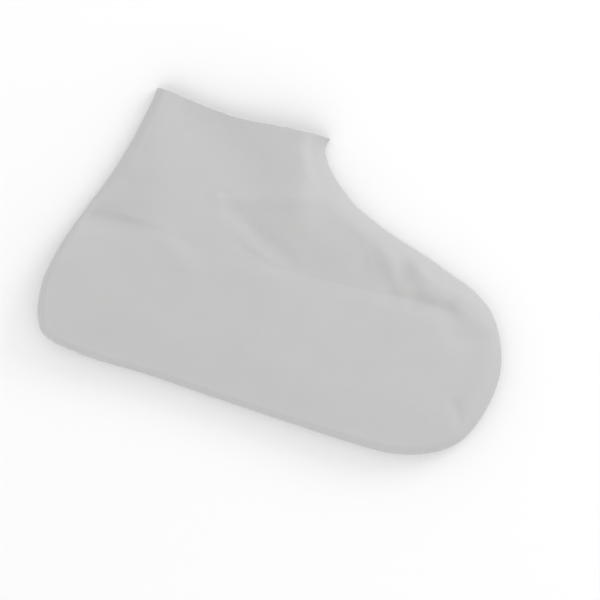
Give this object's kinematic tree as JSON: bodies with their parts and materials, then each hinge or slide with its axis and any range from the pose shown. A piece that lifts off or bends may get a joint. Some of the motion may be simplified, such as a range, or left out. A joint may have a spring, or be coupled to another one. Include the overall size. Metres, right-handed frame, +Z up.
{
  "type": "moulded rubber overshoe",
  "caption": "Seamless dip-moulded rubber overshoe with an open ankle collar and a thicker flat sole, collapsed and lying on its side.",
  "frame": {"origin": "middle of the overshoe's bounding box, on the surface it lies on", "axes": "+X along the sole from heel to toe, +Y from the sole's lower edge up to the collar, +Z up from the surface"},
  "size_m": [0.2604, 0.1598, 0.0215],
  "materials": {
    "latex": "matt pale grey dipped latex with a fine powdered grain"
  },
  "bodies": {
    "root": {"overshoe_shell": "latex"}
  },
  "joints": []
}
